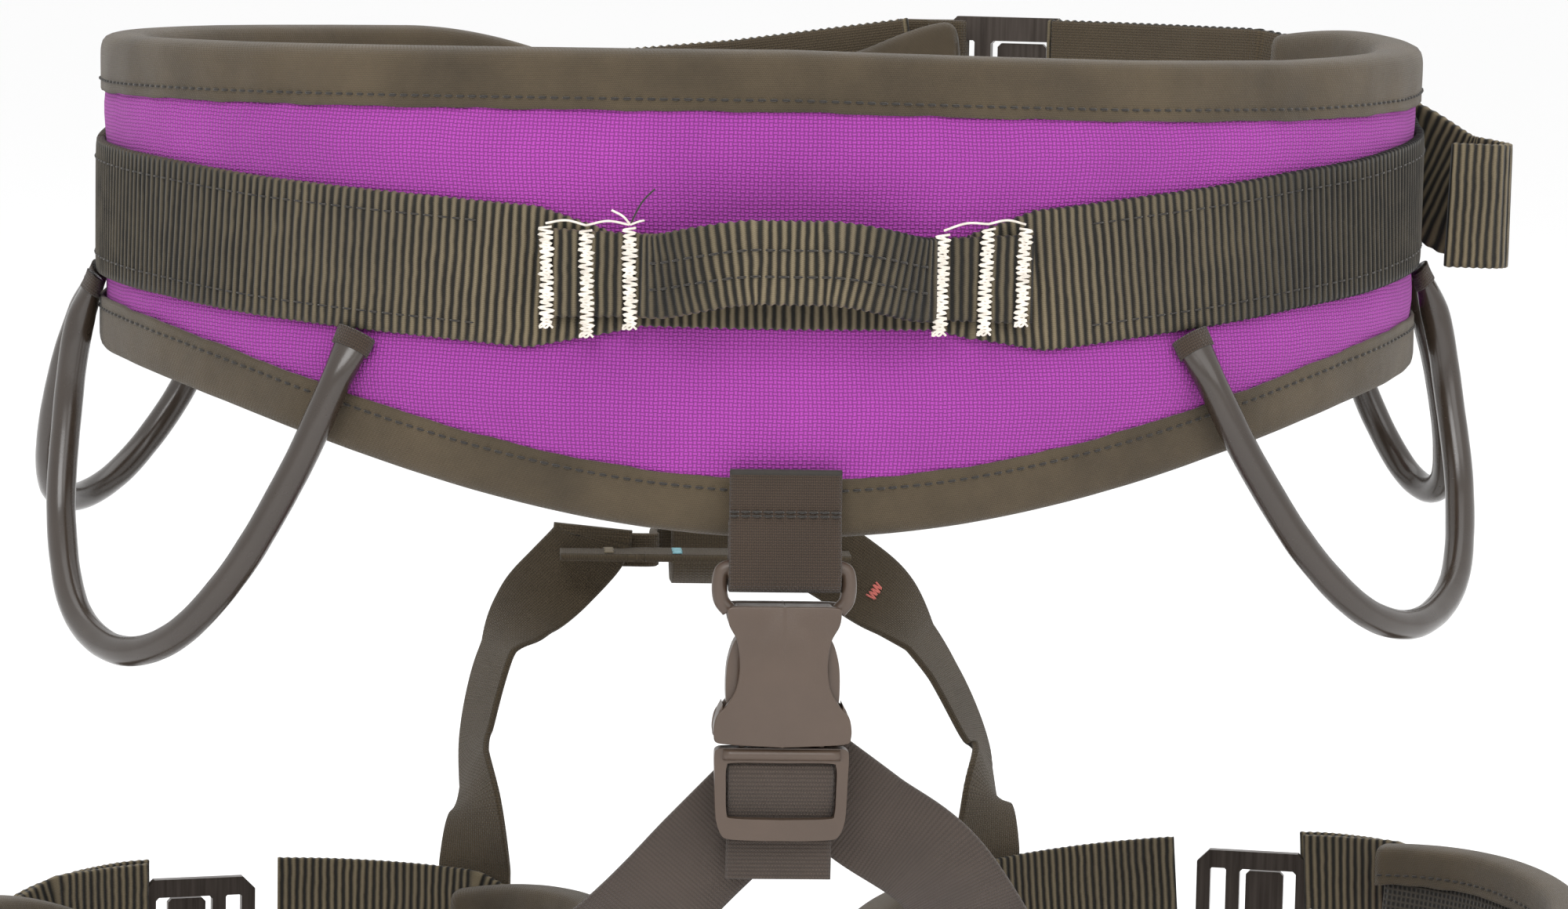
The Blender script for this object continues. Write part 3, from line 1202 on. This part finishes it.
def build_rear_straps():
    bar_y = (SOCKET_LOW[1] + SOCKET_HIGH[1]) / 2 - 0.6
    bar_z = SOCKET_HIGH[2] - 1.9
    front = bar_y - 2.9
    path = smooth([(0.0, -113.0, -92.6), (0.0, -113.2, -97.0), (0.0, -113.6, -103.0),
                   (0.0, front + 1.2, -109.5),
                   (0.0, front, bar_z + 0.5), (0.0, front + 0.2, bar_z - 2.6), (0.0, bar_y, bar_z - 3.9),
                   (0.0, bar_y + 2.6, bar_z - 2.4), (0.0, bar_y + 2.9, bar_z + 1.0), (0.0, -110.6,
                                                                                      -104.0)], 0.8)
    tab = strap("rear_tab_strap", path, (1.0, 0.0, 0.0), 25.0, 1.5, MATERIALS["tab"], ribs=0.07, pitch=0.62,
                step=0.3)
    place(tab, "waist", "webbing", "rear_tab")
    row = np.stack([np.linspace(-12.6, 12.6, 20), np.full(20, -114.35), np.full(20, -101.6)], 1)
    lower = row + np.array([0.0, -0.1, -0.9])
    out = np.tile([0.0, -1.0, 0.0], (20, 1))
    runs = np.concatenate([stitch_runs(row, out, 2.0, 0.5), stitch_runs(lower, out, 2.0, 0.5)])
    place(thread_mesh("rear_tab_stitches", runs, 0.26, MATERIALS["stitch"]), "waist", "webbing")
    edge = np.stack([np.linspace(-12.4, 12.4, 30), np.full(30, -113.3), np.full(30, -92.9)], 1)
    place(tube("rear_tab_edge", edge, 0.75, MATERIALS["stitch"], sides=8), "waist", "webbing")
    top, bottom = PLUG_HIGH[2], PLUG_LOW[2]
    bar = PLUG_LOW[1]
    path = smooth([(0.0, PLUG_HIGH[1] + 1.5, -184.6), (0.0, PLUG_HIGH[1] + 1.2, -178.0),
                   (0.0, PLUG_HIGH[1] + 0.6, bottom + 2.0), (0.0, PLUG_HIGH[1] - 1.2, bottom + 6.0),
                   (0.0, bar + 1.3, top - 9.0), (0.0, bar + 1.5, top - 5.0), (0.0, bar + 3.2, top - 3.4),
                   (0.0, PLUG_HIGH[1] + 1.1, top - 4.6), (0.0, PLUG_HIGH[1] + 1.6, top - 9.0)], 0.8)
    inner = strap("riser_tab_strap", path, (1.0, 0.0, 0.0), 23.6, 1.3, MATERIALS["elastic"], ribs=0.05,
                  pitch=0.9,
                  step=0.3)
    place(inner, "rear_plug", "webbing", "riser_tab")


def build_risers():
    for name, side, points in (
        ("left", -1, [(-1.0, -107.4, -163.6), (-3.0, -107.2, -166.0), (-16.0, -106.5, -179.5),
                      (-33.0, -101.0, -198.0)]),
        ("right", 1, [(1.5, -104.8, -158.4), (3.5, -104.6, -160.0), (20.0, -104.0, -172.0),
                      (39.0, -99.0, -187.0)]),
    ):
        oval = LEGS[side]
        top, _ = leg_edges(side)(np.array(214.0))
        end = oval.at(214.0, 9.4, top - 12.0)
        path = smooth([*points, end + np.array([0.0, -2.5, 14.0]), end], 1.2)
        lean = oval.out(214.0)
        share = np.linspace(0.0, 1.0, len(path))[:, None]
        facing = unit((1 - share) * np.array([0.0, -1.0, 0.0]) + share * lean)
        across = np.cross(tangents(path), facing)
        piece = strap(f"elastic_riser_{name}", path, across, 24.0, 1.5, MATERIALS["elastic"], ribs=0.09,
                      pitch=0.8,
                      step=0.3)
        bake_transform(piece)
        finish_piece(piece, "elastic", f"riser_{name}")


def build_front():
    """Front tab, tie-in loops, belay loop, bridge and the straps down to the leg loops."""
    xs = np.array([-32.0, -30.0, -20.0, -8.0, 3.0, 14.0, 20.0, 26.0, 31.0, 40.0, 52.0, 57.0])
    given = np.array([-32.0, -30.0, -8.0, 14.0, 20.0, 31.0, 40.0, 52.0, 57.0])
    tops = np.interp(xs, given, [-14.0, -11.0, -10.0, -10.0, -9.5, -7.5, -3.0, 1.2, 0.6])
    bottoms = np.interp(xs, given, [-54.0, -60.0, -62.0, -60.0, -46.0, -42.0, -36.0, -31.0, -29.0])
    grid = []
    for x, top, bottom in zip(xs, tops, bottoms):
        angle = 180.0 - np.degrees(np.arcsin(x / WAIST_HALF_WIDTH))
        levels = np.linspace(bottom, top, 9)
        grid.append(np.concatenate([WAIST.at(angle, 2.7 - 0.7 * np.abs(np.linspace(-1, 1, 9)) ** 6, levels),
                                    WAIST.at(angle, -2.7 + 0.7 * np.abs(np.linspace(-1, 1, 9)) ** 6,
                                             levels[::-1])]))
    tab = wrapped("front_tab_cover", np.array(grid), xs, np.linspace(0.0, 110.0, 18), MATERIALS["tape"])
    round_off(tab, 2)
    place(tab, "waist", "binding", "front_tab")
    for name, level, back, half, height, body in (("upper", -50.0, WAIST_HALF_DEPTH + 3.45, 22.0, 14.0,
                                                   "waist"),
                                                  ("lower", BRIDGE_LEVEL, 108.05, 12.0, 9.0, "leg_bridge")):
        ends = back + 1.2
        right = [(0.0, RING_Y), (10.8, RING_Y), (max(0.77 * half, 12.7), (ends + RING_Y) / 2),
                 (max(half, 13.0), ends + 0.4), (half + 9.0, ends)]
        points = [(TIE_X - x, y, level) for x, y in reversed(right)] + [(TIE_X + x, y, level) for x,
                                                                        y in right[1:]]
        arch = strap(f"{name}_tie_strap", smooth(points, 0.8), UP, height, 2.1, MATERIALS["smooth_web"],
                     ribs=0.12,
                     pitch=0.9, step=0.3)
        place(arch, body, "webbing", f"{name}_tie_in")
        parts = []
        for x in (TIE_X - half - 5.0, TIE_X + half + 5.0):
            def at(across, up, out, x=x, ends=ends, level=level):
                return np.array([x + across, ends + 1.25 + out, level + up])

            parts.append(thread_path("tack", zigzag(at, height - 2.5, 1.1, 0.5, int(x) + 90), 0.26,
                                     MATERIALS["stitch_light"]))
        place(joined(f"{name}_tie_tacks", parts), body, "webbing")
    ring_low, ring_high = node_box("belay_loop")
    radius = 9.0
    turn = np.radians(np.linspace(0.0, 180.0, 25))
    upper = np.stack([np.full(25, TIE_X), RING_Y + radius * np.cos(turn),
                      ring_high[2] - 11.0 + radius * np.sin(turn)], 1)
    lower = np.stack([np.full(25, TIE_X), RING_Y - radius * np.cos(turn),
                      ring_low[2] + 11.0 - radius * np.sin(turn)], 1)
    ring = strap("belay_ring", np.concatenate([upper, lower]), (1.0, 0.0, 0.0), 16.0, 3.7,
                 MATERIALS["smooth_web"],
                 ribs=0.14, pitch=0.9, step=0.3, closed=True)
    place(ring, "belay_loop", "webbing", "belay_loop")
    parts = []
    for level in (-78.0, -86.0, -104.0, -112.0):
        def at(across, up, out, level=level):
            return np.array([TIE_X + up, ring_high[1] + out - 0.1, level + across])

        parts.append(thread_path("tack", zigzag(at, 13.0, 1.1, 0.5, int(level) + 300), 0.27,
                                 MATERIALS["pink"]))
    place(joined("belay_tacks", parts), "belay_loop", "webbing")
    xs = np.array([-45.8, -28.0, -24.0, TIE_X, 3.0, 6.5, 30.8])
    fronts = np.array([104.4, 104.4, 107.2, 107.2, 107.2, 104.4, 104.4])
    path = np.stack([xs, (fronts + 93.1) / 2, np.full(len(xs), BRIDGE_LEVEL)], 1)
    bridge = strap("bridge_strap", path, (0.0, 1.0, 0.0), fronts - 93.1, 2.0, MATERIALS["smooth_web"],
                   ribs=0.1,
                   pitch=0.9, step=0.3)
    place(bridge, "leg_bridge", "webbing", "leg_bridge")
    for reach, word in ((-15.0, "cyan"), (-33.0, "stitch_light"), (17.0, "stitch_light")):
        def at(across, up, out, reach=reach):
            return np.array([reach + across, 98.5 + up, BRIDGE_LEVEL + 1.0 + out])

        tack = thread_path(f"bridge_tack_{int(abs(reach))}", zigzag(at, 9.0, 1.2, 0.5, 17), 0.28,
                           MATERIALS[word])
        place(tack, "leg_bridge", "webbing")
    for name, side in (("left", -1), ("right", 1)):
        build_front_strap(name, side)


def build_front_strap(name, side):
    oval = LEGS[side]
    join = oval.at(LEG_JOIN, LEG_WEB_OFFSET + 1.9 + 0.45 + 0.5, 0.0)
    level = float(leg_web_level(side, np.array(LEG_JOIN + 360.0)))
    points = FRONT_STRAPS[side] + [(join[0], join[1] + 1.0, level + 26.0), (join[0], join[1], level + 8.0),
                                   (join[0], join[1], level - 9.0)]
    path = smooth(points, 1.0)
    lean = oval.out(LEG_JOIN)
    share = np.linspace(0.0, 1.0, len(path))[:, None]
    turned = straight(share, 0.08, 0.34)
    flat = straight(share, 0.62, 0.84)
    facing = (1 - turned) * np.array([0.0, 1.0, 0.0]) + turned * np.array([-0.92 * side, 0.38, 0.0])
    facing = unit((1 - flat) * facing + flat * lean)
    across = np.cross(tangents(path), facing)
    piece = strap(f"front_strap_{name}", path, across, 21.0, 1.7, MATERIALS["smooth_web"], ribs=0.1,
                  pitch=0.9,
                  step=0.3)
    place(piece, "leg_bridge", "webbing", f"leg_front_strap_{name}")
    count = len(path)
    for share_at, material in ((0.2, "pink"), (0.90, "white"))[0 if side > 0 else 1 :]:
        i = int(share_at * count)
        side_way = unit(across[i])
        out = facing[i]

        def at(along, up, lift, i=i, side_way=side_way, out=out):
            going = tangents(path)[i]
            return path[i] + going * along + side_way * up - out * (0.95 + lift)

        tack = thread_path("tack", zigzag(at, 15.0 if material == "white" else 5.0, 1.3, 0.55, 70 + i),
                           0.28, MATERIALS[material])
        tack.name = f"front_strap_tack_{name}_{material}"
        place(tack, "leg_bridge", "webbing")


def build_leg(name, side):
    oval = LEGS[side]
    edges = leg_edges(side)
    body = f"leg_{name}"

    def web(angles):
        level = leg_web_level(side, angles)
        return level, 10.5

    band = pad(f"leg_cushion_{name}", oval, edges, LEG_START + 0.5, LEG_END - 0.5, 2.9, 10.0, web, 2.2,
               [MATERIALS["purple"], MATERIALS["lining"]], 50 + side)
    place(band, body, "purple_weave", f"leg_pad_{name}", f"leg_shell_{name}", f"leg_lining_{name}")
    for is_top, word in ((True, "top"), (False, "bottom")):
        tape, thread = edge_tape(f"leg_tape_{word}_{name}", oval, edges, LEG_START, LEG_END, is_top, 10.0,
                                 4.85,
                                 60 + side + (7 if is_top else 0))
        place(tape, body, "binding", f"leg_binding_{word}_{name}")
        place(thread, body, "binding")
    angles = oval.angles(23.5, 362.5, 1.6)
    path = oval.at(angles, LEG_WEB_OFFSET, leg_web_level(side, angles))
    web_piece = strap(f"leg_ribbed_web_{name}", path, UP, 20.0, 1.7, MATERIALS["rib"], ribs=0.34, wave=0.1)
    place(web_piece, body, "webbing", f"leg_webbing_{name}")
    lie = LEG_WEB_OFFSET + 1.9 + 0.45
    tail = ((22.0, 13.3), (25.5, 13.5), (30.0, 11.9), (36.0, lie), (43.0, lie), (50.0, lie), (58.0, lie),
            (65.0, lie),
            (72.0, lie))
    path = smooth([oval.at(a, offset, leg_web_level(side, np.array(a))) for a, offset in tail], 1.0)
    strap_piece = strap(f"leg_tail_{name}", path, UP, 19.0, 1.5, MATERIALS["rib"], ribs=0.3, wave=0.1)
    place(strap_piece, body, "webbing", f"leg_strap_tail_{name}")
    row = np.linspace(206.0, 222.0, 12)
    top, _ = edges(row)
    patch = strap(f"riser_patch_{name}", oval.at(row, 6.15, top - 11.0), UP, 17.0, 1.4, MATERIALS["tab"],
                  ribs=0.06,
                  pitch=0.62, step=0.3)
    place(patch, body, "webbing", f"riser_anchor_{name}")
    parts = []
    for at_angle in (209.0, 219.0):
        def at(across, up, out, at_angle=at_angle):
            top_here, _ = edges(np.array(at_angle))
            return oval.at(at_angle + across / 1.5, 6.95 + out, top_here - 11.0 + up)

        parts.append(thread_path("tack", zigzag(at, 14.0, 1.1, 0.5, 200 + int(at_angle)), 0.26,
                                 MATERIALS["white"]))
    place(joined(f"riser_patch_tacks_{name}", parts), body, "webbing")


def build_waist_front_strap():
    """The tail past the buckle, its keeper, the anchor loop and the wrap round the slider."""
    lie = 6.1 + WEB_THICK + 0.85
    over = 7.7 + WEB_THICK + 0.85
    points = [WAIST.at(angle, offset, web_level(np.array(angle))) for angle, offset in
              ((148.2, 12.0), (145.0, 12.6), (141.0, 11.4), (136.0, lie), (128.0, lie + 0.9), (120.0, over),
               (112.0, over + 0.1), (105.0, over + 0.6), (99.5, over + 1.3))]
    points += [(171.0, 11.0, -36.5), (177.5, 7.0, -38.0), (182.2, 1.0, -38.8), (179.0, -4.6, -38.8),
               (172.5, -6.4, -38.6), (166.5, -7.2, -38.4)]
    tail = strap("waist_tail", smooth(points, 0.8), UP, 30.2, 1.8, MATERIALS["rib"], ribs=0.36, wave=0.12)
    place(tail, "waist", "webbing", "waist_strap_tail")
    level = float(web_level(np.array(110.0)))
    points = []
    for offset, up in ((7.0, -17.6), (9.6, -17.8), (13.2, -17.4), (14.2, -15.0), (14.2, 0.0), (14.2, 15.0),
                       (13.2, 17.4), (9.6, 17.8), (7.0, 17.6)):
        points.append(WAIST.at(110.0, offset, level + up))
    path = smooth(points, 0.8)
    along = np.tile(np.cross(UP, WAIST.out(110.0)), (len(path), 1))
    keeper = strap("keeper_band", path, along, 11.5, 1.1, MATERIALS["elastic"], ribs=0.06, pitch=0.8,
                   step=0.3)
    place(keeper, "waist", "elastic", "tail_keeper")
    out = WAIST.out(154.0)
    middle = WAIST.at(154.0, 8.1, BUCKLE_LEVEL)
    along = np.cross(UP, out)

    def at(u, v):
        return middle + along * u + out * v

    anchor = smooth([at(29.0, -0.6), at(22.0, 0.6), at(16.5, 3.3), at(12.7, 3.0), at(11.15, 0.4),
                     at(12.7, -3.0),
                     at(17.0, -3.4), at(20.4, -3.6)], 0.8)
    loop = strap("buckle_anchor_strap", anchor, UP, 29.8, 1.5, MATERIALS["smooth_web"], ribs=0.1, pitch=0.9,
                 step=0.3)
    place(loop, "waist", "webbing", "waist_buckle_anchor")


def finish_metal():
    """The CAD's buckle frames and sliders stay, with eased edges and a dark finish."""
    for name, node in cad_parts.items():
        if not name.endswith(("_frame", "_slider")):
            continue
        node.data.materials.clear()
        node.data.materials.append(MATERIALS["metal"])
        change = node.modifiers.new("ease", "BEVEL")
        change.width = 0.7 * MM
        change.segments = 3
        change.limit_method = "ANGLE"
        change.angle_limit = math.radians(30.0)


# Stage


def aim(camera, position, target, roll):
    camera.location = position
    way = (Vector(target) - Vector(position)).normalized()
    turn = way.to_track_quat("-Z", "Y").to_matrix().to_4x4()
    camera.rotation_euler = (turn @ Matrix.Rotation(math.radians(roll), 4, "Z")).to_euler()


def build_stage():
    rear = Vector((-0.0005, -0.112, -0.089))
    azimuth = math.radians(-3.6)
    pitch = math.radians(6.7)
    back = Vector((math.sin(azimuth) * math.cos(pitch), -math.cos(azimuth) * math.cos(pitch),
                   math.sin(pitch)))
    data = bpy.data.cameras.new("camera")
    data.lens = 115.0
    data.sensor_width = 36.0
    camera = bpy.data.objects.new("camera", data)
    bpy.context.collection.objects.link(camera)
    aim(camera, rear + back * 1.107, rear, 1.1)
    bpy.context.scene.camera = camera
    floor_level = CAD_LOW[2] / MM - 25.0
    size = 60000.0
    corners = [(-size, -size, floor_level), (size, -size, floor_level), (size, size, floor_level),
               (-size, size, floor_level)]
    pale = Finish("pale_floor", (0.97, 0.97, 0.97), 0.9, specular=0.1)
    floor = mesh_object("floor", corners, [(0, 1, 2, 3)], pale.material)
    world = bpy.data.worlds.new("studio")
    world.use_nodes = True
    world.node_tree.nodes["Background"].inputs[0].default_value = (1.0, 1.0, 1.0, 1.0)
    world.node_tree.nodes["Background"].inputs[1].default_value = 1.0
    bpy.context.scene.world = world
    for name, spot, size_m, power in (
        ("key", (-0.5, -1.9, 1.3), 1.2, 24.0),
        ("fill", (1.0, -1.8, 0.9), 1.4, 10.0),
        ("top", (0.0, 0.2, 2.0), 2.0, 14.0),
    ):
        light = bpy.data.lights.new(name, "AREA")
        light.size = size_m
        light.energy = power
        lamp = bpy.data.objects.new(name, light)
        bpy.context.collection.objects.link(lamp)
        aim(lamp, Vector(spot), Vector((0.0, 0.0, -0.1)), 0.0)
    bpy.context.scene.view_settings.view_transform = "Standard"


def main():
    build_stage()
    build_waist_belt()
    build_waist_webbing()
    build_haul_loop()
    build_gear_loops()
    build_rear_socket()
    build_rear_plug()
    build_rear_straps()
    build_risers()
    build_front()
    for name, side in (("left", -1), ("right", 1)):
        build_leg(name, side)
    build_waist_front_strap()
    finish_metal()


main()
